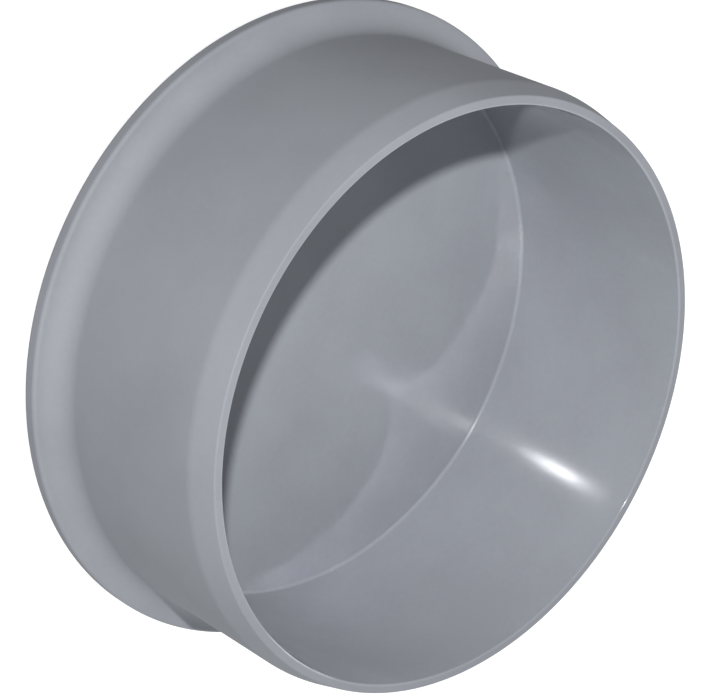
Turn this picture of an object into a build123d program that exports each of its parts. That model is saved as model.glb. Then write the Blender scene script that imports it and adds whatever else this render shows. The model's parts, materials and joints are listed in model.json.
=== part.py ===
from build123d import *
from math import atan2, cos, degrees, radians, sin, sqrt, tan
import os

# Push-in cap for the socket of a 110 mm drain pipe: a closed disc, a collar that stops
# against the socket, and a plain spigot with a tapered lead-in at its open rim.
#
# The real cap is one moulding with one even wall. It is written here as its four working
# sections, cut square to the wall and meeting face to face, so that no section has a
# knife edge and nothing is added between them.
#
# Frame: the origin is the centre of the closed face, which lies in z = 0, and +Z runs
# along the axis of the cap to the open rim. Millimetres.

# Driving dimensions
SPIGOT_DIAMETER = 110.0
COLLAR_DIAMETER = 120.0
WALL = 3.0
RIM_HEIGHT = 44.5
COLLAR_EDGE_RADIUS = 0.8
COVE_RADIUS = 5.0
FLOOR_CORNER_RADIUS = 0.6
FLOOR_CROWN = 0.4
LEAD_IN_LENGTH = 5.2
LEAD_IN_DEGREES = 14.5
RIM_EDGE_RADIUS = 0.35

# The injection gate leaves a stub in a shallow dished recess, so that it stays clear of
# whatever the closed face rests on.
GATE_RECESS_DIAMETER = 12.0
GATE_RECESS_DEPTH = 0.6
GATE_STUB_DIAMETER = 3.0
GATE_STUB_CLEARANCE = 0.2

# Worked out from the driving dimensions
SPIGOT_R = SPIGOT_DIAMETER / 2
BORE_R = SPIGOT_R - WALL
COLLAR_R = COLLAR_DIAMETER / 2
FLOOR_R = BORE_R - FLOOR_CORNER_RADIUS
LEAD_IN_Z = RIM_HEIGHT - LEAD_IN_LENGTH
RIM_R = SPIGOT_R - LEAD_IN_LENGTH * tan(radians(LEAD_IN_DEGREES))

# The collar is as thick as the wall, with both edges rounded. Its inner edge runs straight
# into the cove, which is tangent to the spigot. The edge and the cove are arcs, and they
# touch on the line between their centres.
LOW_EDGE_CENTRE = (COLLAR_R - COLLAR_EDGE_RADIUS, COLLAR_EDGE_RADIUS)
HIGH_EDGE_CENTRE = (COLLAR_R - COLLAR_EDGE_RADIUS, WALL - COLLAR_EDGE_RADIUS)
CENTRE_DISTANCE = COVE_RADIUS + COLLAR_EDGE_RADIUS
CENTRE_STEP_R = SPIGOT_R + COVE_RADIUS - HIGH_EDGE_CENTRE[0]
CENTRE_STEP_Z = sqrt(CENTRE_DISTANCE**2 - CENTRE_STEP_R**2)
COVE_CENTRE = (HIGH_EDGE_CENTRE[0] + CENTRE_STEP_R, HIGH_EDGE_CENTRE[1] + CENTRE_STEP_Z)
COVE_TOP_Z = COVE_CENTRE[1]


def on_arc(centre, radius, degrees):
    """A point on an arc, as (radius from the cap's axis, height)."""
    angle = radians(degrees)
    return (centre[0] + radius * cos(angle), centre[1] + radius * sin(angle))


def turned(*outline):
    """A full turn about Z of a closed outline drawn as radius and height."""
    return revolve(Plane.XZ * make_face(outline), Axis.Z)


def closing_disc():
    """The disc that closes the pipe: flat outside, with the gate recess, and slightly
    crowned inside, where it thickens towards the gate."""
    recess_r = GATE_RECESS_DIAMETER / 2
    stub_r = GATE_STUB_DIAMETER / 2
    sphere_r = (recess_r**2 + GATE_RECESS_DEPTH**2) / (2 * GATE_RECESS_DEPTH)
    stub_root_z = GATE_RECESS_DEPTH - sphere_r + sqrt(sphere_r**2 - stub_r**2)
    middle_r = (stub_r + recess_r) / 2
    middle_z = GATE_RECESS_DEPTH - sphere_r + sqrt(sphere_r**2 - middle_r**2)
    crown_r = (FLOOR_R**2 + FLOOR_CROWN**2) / (2 * FLOOR_CROWN)
    crown_top_z = WALL + FLOOR_CROWN
    crown_middle_z = crown_top_z - crown_r + sqrt(crown_r**2 - (FLOOR_R / 2) ** 2)
    return turned(
        Line((0, GATE_STUB_CLEARANCE), (stub_r, GATE_STUB_CLEARANCE)),
        Line((stub_r, GATE_STUB_CLEARANCE), (stub_r, stub_root_z)),
        ThreePointArc((stub_r, stub_root_z), (middle_r, middle_z), (recess_r, 0)),
        Line((recess_r, 0), (FLOOR_R, 0)),
        Line((FLOOR_R, 0), (FLOOR_R, WALL)),
        ThreePointArc((FLOOR_R, WALL), (FLOOR_R / 2, crown_middle_z), (0, crown_top_z)),
        Line((0, crown_top_z), (0, GATE_STUB_CLEARANCE)),
    )


def flange_collar():
    """The collar round the disc, the cove up to the spigot and the corner inside."""
    touch_degrees = degrees(atan2(CENTRE_STEP_Z, CENTRE_STEP_R))
    low_middle = on_arc(LOW_EDGE_CENTRE, COLLAR_EDGE_RADIUS, -45)
    high_middle = on_arc(HIGH_EDGE_CENTRE, COLLAR_EDGE_RADIUS, touch_degrees / 2)
    touch = on_arc(HIGH_EDGE_CENTRE, COLLAR_EDGE_RADIUS, touch_degrees)
    cove_middle = on_arc(COVE_CENTRE, COVE_RADIUS, 180 + touch_degrees / 2)
    corner_centre = (FLOOR_R, WALL + FLOOR_CORNER_RADIUS)
    corner_middle = on_arc(corner_centre, FLOOR_CORNER_RADIUS, -45)
    return turned(
        Line((FLOOR_R, 0), (LOW_EDGE_CENTRE[0], 0)),
        ThreePointArc((LOW_EDGE_CENTRE[0], 0), low_middle, (COLLAR_R, LOW_EDGE_CENTRE[1])),
        Line((COLLAR_R, LOW_EDGE_CENTRE[1]), (COLLAR_R, HIGH_EDGE_CENTRE[1])),
        ThreePointArc((COLLAR_R, HIGH_EDGE_CENTRE[1]), high_middle, touch),
        ThreePointArc(touch, cove_middle, (SPIGOT_R, COVE_TOP_Z)),
        Line((SPIGOT_R, COVE_TOP_Z), (BORE_R, COVE_TOP_Z)),
        Line((BORE_R, COVE_TOP_Z), (BORE_R, corner_centre[1])),
        ThreePointArc((BORE_R, corner_centre[1]), corner_middle, (FLOOR_R, WALL)),
        Line((FLOOR_R, WALL), (FLOOR_R, 0)),
    )


def spigot_sleeve():
    """The plain cylinder that the socket's seal ring grips."""
    return turned(
        Polyline(
            (BORE_R, COVE_TOP_Z),
            (SPIGOT_R, COVE_TOP_Z),
            (SPIGOT_R, LEAD_IN_Z),
            (BORE_R, LEAD_IN_Z),
            close=True,
        )
    )


def lead_in_nose():
    """The tapered end that guides the spigot into the seal ring, with its rim eased."""
    outline = make_face(
        Polyline(
            (BORE_R, LEAD_IN_Z),
            (SPIGOT_R, LEAD_IN_Z),
            (RIM_R, RIM_HEIGHT),
            (BORE_R, RIM_HEIGHT),
            close=True,
        )
    )
    rim_corners = outline.vertices().group_by(Axis.Y)[-1]
    return revolve(Plane.XZ * fillet(rim_corners, RIM_EDGE_RADIUS), Axis.Z)


SECTIONS = {
    "closing_disc": closing_disc(),
    "flange_collar": flange_collar(),
    "spigot_sleeve": spigot_sleeve(),
    "lead_in_nose": lead_in_nose(),
}

os.makedirs("parts", exist_ok=True)
for name, section in SECTIONS.items():
    export_step(section, f"parts/{name}.step")
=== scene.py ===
import json
from math import asin, atan2, cos, pi, radians, sin, sqrt, tan

import bpy
from mathutils import Matrix, Vector


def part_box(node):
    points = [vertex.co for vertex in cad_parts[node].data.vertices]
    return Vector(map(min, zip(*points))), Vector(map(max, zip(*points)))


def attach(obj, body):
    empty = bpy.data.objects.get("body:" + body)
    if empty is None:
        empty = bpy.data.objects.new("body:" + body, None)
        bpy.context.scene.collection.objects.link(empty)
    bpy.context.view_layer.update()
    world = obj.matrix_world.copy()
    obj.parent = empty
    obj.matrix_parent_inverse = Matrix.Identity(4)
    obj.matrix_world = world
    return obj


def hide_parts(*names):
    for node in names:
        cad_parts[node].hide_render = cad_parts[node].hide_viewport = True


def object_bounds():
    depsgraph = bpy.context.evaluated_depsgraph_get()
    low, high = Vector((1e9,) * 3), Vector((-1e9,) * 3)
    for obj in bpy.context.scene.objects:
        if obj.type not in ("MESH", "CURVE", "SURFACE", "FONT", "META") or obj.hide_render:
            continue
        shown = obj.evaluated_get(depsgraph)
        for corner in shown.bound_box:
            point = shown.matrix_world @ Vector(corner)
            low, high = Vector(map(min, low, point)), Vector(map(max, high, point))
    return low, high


# A push-in pipe cap in grey moulded plastic, seen into its open mouth. Metres throughout,
# in the frame of the CAD model: the closed face lies in z = 0 and +Z runs out of the mouth.

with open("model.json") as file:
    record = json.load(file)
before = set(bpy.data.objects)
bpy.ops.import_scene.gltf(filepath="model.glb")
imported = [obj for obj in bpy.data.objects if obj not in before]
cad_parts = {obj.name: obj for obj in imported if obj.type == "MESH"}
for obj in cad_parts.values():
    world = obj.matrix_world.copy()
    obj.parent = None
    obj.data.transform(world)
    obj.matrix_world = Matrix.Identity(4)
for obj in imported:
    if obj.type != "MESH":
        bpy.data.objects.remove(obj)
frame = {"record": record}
CAD_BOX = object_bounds()

MM = 0.001

# Sizes read from the frame
SPIGOT = next(m for m in frame["record"]["mounts"] if m["name"] == "spigot_outside")
SPIGOT_R = SPIGOT["dims"]["r_mm"] * MM
COLLAR_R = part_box("flange_collar")[1].x
RIM_Z = CAD_BOX[1].z
CROWN_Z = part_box("closing_disc")[1].z
FLOOR_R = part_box("closing_disc")[1].x
COVE_TOP_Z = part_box("spigot_sleeve")[0].z
LEAD_IN_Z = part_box("lead_in_nose")[0].z

# Sizes that the frame doesn't give, as the CAD model has them
WALL = 3.0 * MM
COLLAR_EDGE_R = 0.8 * MM
COVE_R = 5.0 * MM
LEAD_IN_DEGREES = 14.5

# The moulding's softened edge between the plain cylinder and the lead-in. It takes less than
# 0.06 mm off the CAD model's sharp one.
LEAD_IN_BLEND_R = 6.5 * MM
RIM_EDGE_R = 0.35 * MM
GATE_RECESS_R = 6.0 * MM
GATE_RECESS_DEPTH = 0.6 * MM
GATE_STUB_R = 1.5 * MM
GATE_STUB_CLEARANCE = 0.2 * MM

# Worked out from them
BORE_R = SPIGOT_R - WALL
FLOOR_Z = WALL
CROWN = CROWN_Z - FLOOR_Z
CORNER_R = BORE_R - FLOOR_R
RIM_R = SPIGOT_R - (RIM_Z - LEAD_IN_Z) * tan(radians(LEAD_IN_DEGREES))

# Fineness of the turned meshes
TURN_STEPS = 384
STEPS_PER_RADIAN = 16


# ---------------------------------------------------------------- camera

CAMERA_LENS = 135.0
CAMERA_DISTANCE = 0.47326
CAMERA_ELEVATION_DEGREES = 44.04
CAMERA_ROLL_DEGREES = 116.29
CAMERA_AIM = Vector((0.0, -0.00286, 0.01904))


def toward(azimuth_degrees, elevation_degrees):
    """The direction from the cap to a viewer or lamp. Azimuth 0 is on the -Y side."""
    azimuth, elevation = radians(azimuth_degrees), radians(elevation_degrees)
    return Vector(
        (
            sin(azimuth) * cos(elevation),
            -cos(azimuth) * cos(elevation),
            sin(elevation),
        )
    )


def make_camera():
    """The camera, turned about its own line of sight so that the mouth faces right and down."""
    data = bpy.data.cameras.new("camera")
    data.sensor_width = 36.0
    data.lens = CAMERA_LENS
    data.clip_start = 0.01
    data.clip_end = 20.0
    camera = bpy.data.objects.new("camera", data)
    bpy.context.scene.collection.objects.link(camera)
    back = toward(0.0, CAMERA_ELEVATION_DEGREES)
    upright = (-back).to_track_quat("-Z", "Y").to_matrix().to_4x4()
    roll = Matrix.Rotation(radians(CAMERA_ROLL_DEGREES), 4, "Z")
    camera.matrix_world = (
        Matrix.Translation(CAMERA_AIM + back * CAMERA_DISTANCE) @ upright @ roll
    )
    bpy.context.scene.camera = camera


# ---------------------------------------------------------------- materials


def new_material(name):
    """An empty node material: its node tree, and its Principled shader."""
    material = bpy.data.materials.new(name)
    material.use_nodes = True
    tree = material.node_tree
    tree.nodes.clear()
    output = tree.nodes.new("ShaderNodeOutputMaterial")
    shader = tree.nodes.new("ShaderNodeBsdfPrincipled")
    tree.links.new(shader.outputs["BSDF"], output.inputs["Surface"])
    return material, tree, shader


def noise(tree, vector, scale, detail=2.0, roughness=0.5):
    """The value of a noise texture whose cells are about 1 / scale metres across."""
    node = tree.nodes.new("ShaderNodeTexNoise")
    node.inputs["Scale"].default_value = scale
    node.inputs["Detail"].default_value = detail
    node.inputs["Roughness"].default_value = roughness
    tree.links.new(vector, node.inputs["Vector"])
    return node.outputs["Fac"]


def remap(tree, value, low, high, to_low, to_high):
    """A value between low and high, moved to between to_low and to_high."""
    node = tree.nodes.new("ShaderNodeMapRange")
    tree.links.new(value, node.inputs["Value"])
    node.inputs["From Min"].default_value = low
    node.inputs["From Max"].default_value = high
    node.inputs["To Min"].default_value = to_low
    node.inputs["To Max"].default_value = to_high
    return node.outputs["Result"]


def math_node(tree, operation, *values):
    """The result of a Math node on links or plain numbers."""
    node = tree.nodes.new("ShaderNodeMath")
    node.operation = operation
    for socket, value in zip(node.inputs, values):
        if isinstance(value, (int, float)):
            socket.default_value = value
        else:
            tree.links.new(value, socket)
    return node.outputs["Value"]


def mix_colour(tree, factor, colour_a, colour_b):
    """Two plain colours, mixed by a factor."""
    node = tree.nodes.new("ShaderNodeMix")
    node.data_type = "RGBA"
    tree.links.new(factor, node.inputs["Factor"])
    for name, colour in (("A", colour_a), ("B", colour_b)):
        socket = next(s for s in node.inputs if s.name == name and s.type == "RGBA")
        socket.default_value = (*colour, 1.0)
    return next(s for s in node.outputs if s.type == "RGBA")


def bump(tree, shader, height, distance):
    """A bump as high as a distance where the height is 1."""
    node = tree.nodes.new("ShaderNodeBump")
    node.inputs["Strength"].default_value = 1.0
    node.inputs["Distance"].default_value = distance
    tree.links.new(height, node.inputs["Height"])
    tree.links.new(node.outputs["Normal"], shader.inputs["Normal"])


PLASTIC_LIGHT = Vector((0.365, 0.382, 0.418))
PLASTIC_DARK = Vector((0.335, 0.350, 0.384))
PLASTIC_IOR = 1.5

# Noise cells per metre: flow marks and fine specks in the colour, wear in the roughness, and
# the grain of the surface
FLOW_SCALE = 45.0
SPECK_SCALE = 900.0
WEAR_SCALE = 120.0
GRAIN_SCALE = 2600.0
SPECK_SHARE = 0.2


def moulded_plastic(name, shade, roughness, spread, grain_height):
    """Grey moulded plastic: faint flow marks in its colour, and the mould's own finish."""
    material, tree, shader = new_material(name)
    place = tree.nodes.new("ShaderNodeTexCoord").outputs["Object"]
    flow = math_node(tree, "MULTIPLY", noise(tree, place, FLOW_SCALE, detail=3.0), 1 - SPECK_SHARE)
    speck = math_node(tree, "MULTIPLY", noise(tree, place, SPECK_SCALE), SPECK_SHARE)
    tone = remap(tree, math_node(tree, "ADD", flow, speck), 0.38, 0.62, 0.0, 1.0)
    colour = mix_colour(tree, tone, tuple(PLASTIC_DARK * shade), tuple(PLASTIC_LIGHT * shade))
    tree.links.new(colour, shader.inputs["Base Color"])
    wear = noise(tree, place, WEAR_SCALE, detail=4.0, roughness=0.65)
    finish = remap(tree, wear, 0.3, 0.7, roughness - spread, roughness + spread)
    tree.links.new(finish, shader.inputs["Roughness"])
    bump(tree, shader, noise(tree, place, GRAIN_SCALE), grain_height)
    shader.inputs["IOR"].default_value = PLASTIC_IOR
    return material, tree, shader


def polish_straight_across(tree, shader, amount):
    """Polishing marks along Y, which blur reflected light along X more than along Y."""
    shader.inputs["Anisotropic"].default_value = amount
    tangent = tree.nodes.new("ShaderNodeCombineXYZ")
    tangent.inputs["X"].default_value = 1.0
    tree.links.new(tangent.outputs["Vector"], shader.inputs["Tangent"])


def plastic_outside():
    """The finely textured outer surface. Its colour is darkened to 0.85 of the same plastic's
    inner faces: painted shade.
    """
    return moulded_plastic("plastic_outside", 0.85, 0.75, 0.03, 0.010 * MM)[0]


def plastic_inside():
    """The polished inner face of the closing disc."""
    material, tree, shader = moulded_plastic("plastic_inside", 1.0, 0.133, 0.004, 0.0004 * MM)
    polish_straight_across(tree, shader, 0.64)
    shader.inputs["Specular IOR Level"].default_value = 0.22
    return material


def plastic_bore():
    """The polished bore."""
    return moulded_plastic("plastic_bore", 1.0, 0.058, 0.004, 0.0003 * MM)[0]


def floor_paper():
    """White studio paper with a faint tooth."""
    material, tree, shader = new_material("studio_paper")
    place = tree.nodes.new("ShaderNodeTexCoord").outputs["Object"]
    tooth = noise(tree, place, 500.0)
    colour = mix_colour(tree, tooth, (0.93, 0.93, 0.93), (0.95, 0.95, 0.95))
    tree.links.new(colour, shader.inputs["Base Color"])
    shader.inputs["Roughness"].default_value = 0.9
    return material


# ---------------------------------------------------------------- turned meshes


def arc(centre, radius, start_degrees, end_degrees):
    """Points along an arc, as (radius from the cap's axis, height)."""
    sweep = radians(end_degrees - start_degrees)
    count = max(6, round(abs(sweep) * STEPS_PER_RADIAN))
    angles = [radians(start_degrees) + sweep * i / count for i in range(count + 1)]
    return [(centre[0] + radius * cos(a), centre[1] + radius * sin(a)) for a in angles]


def turned(name, runs, materials):
    """A closed body turned about Z. Each run is (points, material number), smooth along its
    length, and starts where the one before it ends. A crease is kept between runs."""
    outline = []
    for points, number in runs:
        outline += [(point, number) for point in points[:-1]]
    creases = []
    position = 0
    for points, number in runs:
        creases.append(position)
        position += len(points) - 1
    verts, rings = [], []
    for (r, z), number in outline:
        if r < 1e-9:
            rings.append([len(verts)] * TURN_STEPS)
            verts.append((0.0, 0.0, z))
            continue
        rings.append(list(range(len(verts), len(verts) + TURN_STEPS)))
        for step in range(TURN_STEPS):
            angle = 2 * pi * step / TURN_STEPS
            verts.append((r * cos(angle), r * sin(angle), z))
    faces, numbers = [], []
    for index, ((point, number), ring) in enumerate(zip(outline, rings)):
        after = rings[(index + 1) % len(rings)]
        if ring[0] == ring[1] and after[0] == after[1]:
            continue
        for step in range(TURN_STEPS):
            beside = (step + 1) % TURN_STEPS
            corners = [ring[step], ring[beside], after[beside], after[step]]
            faces.append(list(dict.fromkeys(corners)))
            numbers.append(number)
    mesh = bpy.data.meshes.new(name)
    mesh.from_pydata(verts, [], faces)
    for material in materials:
        mesh.materials.append(material)
    mesh.polygons.foreach_set("use_smooth", [True] * len(faces))
    mesh.polygons.foreach_set("material_index", numbers)
    crease_keys = set()
    for index in creases:
        ring = rings[index]
        if ring[0] != ring[1]:
            for step in range(TURN_STEPS):
                crease_keys.add(frozenset((ring[step], ring[(step + 1) % TURN_STEPS])))
    for edge in mesh.edges:
        edge.use_edge_sharp = frozenset(edge.vertices) in crease_keys
    mesh.update()
    mesh.validate()
    return mesh


def add_piece(node, runs, materials):
    """One turned piece that stands for a CAD node."""
    name = node + "_body"
    piece = bpy.data.objects.new(name, turned(name, runs, materials))
    bpy.context.scene.collection.objects.link(piece)
    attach(piece, "root")
    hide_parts(node)
    return piece


OUTSIDE, INSIDE, BORE = 0, 1, 2


def closing_disc(materials):
    """The closed end: crowned inside, and outside with the gate's stub in its recess."""
    sphere_r = (GATE_RECESS_R**2 + GATE_RECESS_DEPTH**2) / (2 * GATE_RECESS_DEPTH)
    centre = (0.0, GATE_RECESS_DEPTH - sphere_r)
    rim = 90 - atan2(GATE_RECESS_R, -centre[1]) * 180 / pi
    root = 90 - atan2(GATE_STUB_R, sqrt(sphere_r**2 - GATE_STUB_R**2)) * 180 / pi
    dish = arc(centre, sphere_r, root, rim)
    stub_foot = (GATE_STUB_R, GATE_STUB_CLEARANCE)
    crown_r = (FLOOR_R**2 + CROWN**2) / (2 * CROWN)
    crown_lean = atan2(FLOOR_R, crown_r - CROWN) * 180 / pi
    crown = arc((0.0, CROWN_Z - crown_r), crown_r, 90 - crown_lean, 90)
    crown[0], crown[-1] = (FLOOR_R, FLOOR_Z), (0.0, CROWN_Z)
    runs = [
        ([(0.0, GATE_STUB_CLEARANCE), stub_foot], OUTSIDE),
        ([stub_foot, dish[0]], OUTSIDE),
        (dish, OUTSIDE),
        ([dish[-1], (FLOOR_R, 0.0)], OUTSIDE),
        ([(FLOOR_R, 0.0), (FLOOR_R, FLOOR_Z)], INSIDE),
        (crown, INSIDE),
        ([crown[-1], (0.0, GATE_STUB_CLEARANCE)], INSIDE),
    ]
    return add_piece("closing_disc", runs, materials)


def flange_collar(materials):
    """The collar's rounded edge, the cove up to the spigot, and the corner inside."""
    low_centre = (COLLAR_R - COLLAR_EDGE_R, COLLAR_EDGE_R)
    high_centre = (COLLAR_R - COLLAR_EDGE_R, WALL - COLLAR_EDGE_R)
    cove_centre = (SPIGOT_R + COVE_R, COVE_TOP_Z)
    lean = atan2(cove_centre[1] - high_centre[1], cove_centre[0] - high_centre[0])
    lean_degrees = lean * 180 / pi
    edge = arc(low_centre, COLLAR_EDGE_R, -90, 0)
    edge += arc(high_centre, COLLAR_EDGE_R, 0, lean_degrees)
    cove = arc(cove_centre, COVE_R, lean_degrees + 180, 180)
    corner = arc((FLOOR_R, FLOOR_Z + CORNER_R), CORNER_R, 0, -90)
    runs = [
        ([(FLOOR_R, 0.0)] + edge + cove[1:], OUTSIDE),
        ([cove[-1], (BORE_R, COVE_TOP_Z)], INSIDE),
        ([(BORE_R, COVE_TOP_Z), corner[0]], BORE),
        (corner, INSIDE),
        ([corner[-1], (FLOOR_R, 0.0)], INSIDE),
    ]
    return add_piece("flange_collar", runs, materials)


def lead_in_blend():
    """The softened edge at the start of the lead-in: its part below that plane, and above."""
    drop = LEAD_IN_BLEND_R * tan(radians(LEAD_IN_DEGREES / 2))
    centre = (SPIGOT_R - LEAD_IN_BLEND_R, LEAD_IN_Z - drop)
    middle_degrees = asin(drop / LEAD_IN_BLEND_R) * 180 / pi
    below = arc(centre, LEAD_IN_BLEND_R, 0, middle_degrees)
    above = arc(centre, LEAD_IN_BLEND_R, middle_degrees, LEAD_IN_DEGREES)
    below[-1] = above[0] = (above[0][0], LEAD_IN_Z)
    return below, above


def spigot_sleeve(materials):
    """The plain cylinder."""
    below, above = lead_in_blend()
    runs = [
        ([(BORE_R, COVE_TOP_Z), (SPIGOT_R, COVE_TOP_Z)], INSIDE),
        ([(SPIGOT_R, COVE_TOP_Z)] + below, OUTSIDE),
        ([below[-1], (BORE_R, LEAD_IN_Z)], INSIDE),
        ([(BORE_R, LEAD_IN_Z), (BORE_R, COVE_TOP_Z)], BORE),
    ]
    return add_piece("spigot_sleeve", runs, materials)


def lead_in_nose(materials):
    """The tapered end of the spigot, with both edges of its rim eased."""
    inner_centre = (BORE_R + RIM_EDGE_R, RIM_Z - RIM_EDGE_R)
    corner_degrees = 90 - LEAD_IN_DEGREES
    reach = RIM_EDGE_R * tan(radians(corner_degrees / 2))
    outer_centre = (RIM_R - reach, RIM_Z - RIM_EDGE_R)
    outer_edge = arc(outer_centre, RIM_EDGE_R, LEAD_IN_DEGREES, 90)
    inner_edge = arc(inner_centre, RIM_EDGE_R, 90, 180)
    below, above = lead_in_blend()
    runs = [
        ([(BORE_R, LEAD_IN_Z), above[0]], INSIDE),
        (above + outer_edge, OUTSIDE),
        ([outer_edge[-1], inner_edge[0]], OUTSIDE),
        (inner_edge + [(BORE_R, LEAD_IN_Z)], BORE),
    ]
    return add_piece("lead_in_nose", runs, materials)


# ---------------------------------------------------------------- stage and light

KEY_AZIMUTH_DEGREES = -8.24
KEY_ELEVATION_DEGREES = 41.49
KEY_DISTANCE = 0.5437
KEY_RADIUS = 0.008
KEY_POWER = 2.74

BACK_AZIMUTH_DEGREES = -150.0
BACK_ELEVATION_DEGREES = 12.0
BACK_DISTANCE = 1.2
BACK_SIZE = 0.35
BACK_POWER = 3.0

FLOOR_LIGHT = 3.0
PAPER_HALF_WIDTH = 3.0
PAPER_GAP = 0.05 * MM

SKY_COLOUR = (0.97, 0.985, 1.0)

# Soft light from everywhere, and more from wide parts of the sky: the middle of each part,
# and its strength there
SKY_EVERYWHERE = 0.02
SKY_PARTS = [
    (Vector((1.0, 0.14, 0.0)), 0.73),
    (Vector((0.0, 1.0, 0.0)), 0.92),
]


def aim(obj, place, target):
    """Puts a lamp at a place, shining at a target."""
    obj.location = place
    obj.rotation_mode = "QUATERNION"
    obj.rotation_quaternion = (target - place).to_track_quat("-Z", "Y")


def add_lamp(name, kind, energy):
    """A lamp of one kind."""
    data = bpy.data.lights.new(name, kind)
    data.energy = energy
    lamp = bpy.data.objects.new(name, data)
    bpy.context.scene.collection.objects.link(lamp)
    return lamp


def group(name, members):
    """A collection that a lamp's light can be limited to."""
    collection = bpy.data.collections.new(name)
    for member in members:
        collection.objects.link(member)
    return collection


def studio_sky():
    """Soft light that fades away from the middle of each part of the sky."""
    world = bpy.data.worlds.new("studio")
    world.use_nodes = True
    tree = world.node_tree
    background = tree.nodes["Background"]
    background.inputs["Color"].default_value = (*SKY_COLOUR, 1.0)
    direction = tree.nodes.new("ShaderNodeTexCoord").outputs["Generated"]
    total = SKY_EVERYWHERE
    for middle, strength in SKY_PARTS:
        dot = tree.nodes.new("ShaderNodeVectorMath")
        dot.operation = "DOT_PRODUCT"
        tree.links.new(direction, dot.inputs[0])
        dot.inputs[1].default_value = middle.normalized() * strength
        lobe = math_node(tree, "MAXIMUM", dot.outputs["Value"], 0.0)
        total = math_node(tree, "ADD", lobe, total)
    tree.links.new(total, background.inputs["Strength"])
    return world


def area_lamp(name, azimuth_degrees, elevation_degrees, distance, size, power, pieces):
    """A soft lamp that shines at the middle of the inner face, and lights only the cap."""
    lamp = add_lamp(name, "AREA", power)
    lamp.data.size = size
    target = Vector((0.0, 0.0, FLOOR_Z))
    aim(lamp, target + toward(azimuth_degrees, elevation_degrees) * distance, target)
    lamp.light_linking.receiver_collection = group("lit_by_" + name, pieces)
    return lamp


def light_scene(pieces, floor):
    """A small lamp beside the camera and a soft one behind the cap, which light only the cap,
    an even light for the floor, and the sky."""
    key_place = (KEY_AZIMUTH_DEGREES, KEY_ELEVATION_DEGREES, KEY_DISTANCE)
    key = area_lamp("key", *key_place, 2 * KEY_RADIUS, KEY_POWER, pieces)
    key.data.shape = "DISK"
    back_place = (BACK_AZIMUTH_DEGREES, BACK_ELEVATION_DEGREES, BACK_DISTANCE)
    area_lamp("back_light", *back_place, BACK_SIZE, BACK_POWER, pieces)
    even = add_lamp("floor_light", "SUN", FLOOR_LIGHT)
    aim(even, Vector((0.0, 0.0, 1.0)), Vector((0.0, 0.0, 0.0)))
    even.light_linking.receiver_collection = group("lit_by_floor_light", [floor])
    even.light_linking.blocker_collection = group("blocks_floor_light", [floor])
    bpy.context.scene.world = studio_sky()


def make_floor():
    """A wide sheet of paper under the cap. It neither shades the cap nor throws light on it."""
    half = PAPER_HALF_WIDTH
    mesh = bpy.data.meshes.new("studio_floor")
    corners = [(-half, -half, 0.0), (half, -half, 0.0), (half, half, 0.0), (-half, half, 0.0)]
    mesh.from_pydata(corners, [], [(0, 1, 2, 3)])
    mesh.materials.append(floor_paper())
    floor = bpy.data.objects.new("studio_floor", mesh)
    floor.location.z = -PAPER_GAP
    bpy.context.scene.collection.objects.link(floor)
    floor.visible_diffuse = False
    floor.visible_glossy = False
    floor.visible_shadow = False
    return floor


def set_look():
    """Plain colour handling, and sharp light off glossy surfaces."""
    scene = bpy.context.scene
    scene.view_settings.view_transform = "Standard"
    scene.view_settings.look = "None"
    scene.cycles.blur_glossy = 0.0
    scene.cycles.sample_clamp_indirect = 0.0
    scene.cycles.caustics_reflective = True
    scene.cycles.use_denoising = True


make_camera()
plastic = [plastic_outside(), plastic_inside(), plastic_bore()]
pieces = [
    closing_disc(plastic),
    flange_collar(plastic),
    spigot_sleeve(plastic),
    lead_in_nose(plastic),
]
light_scene(pieces, make_floor())
set_look()
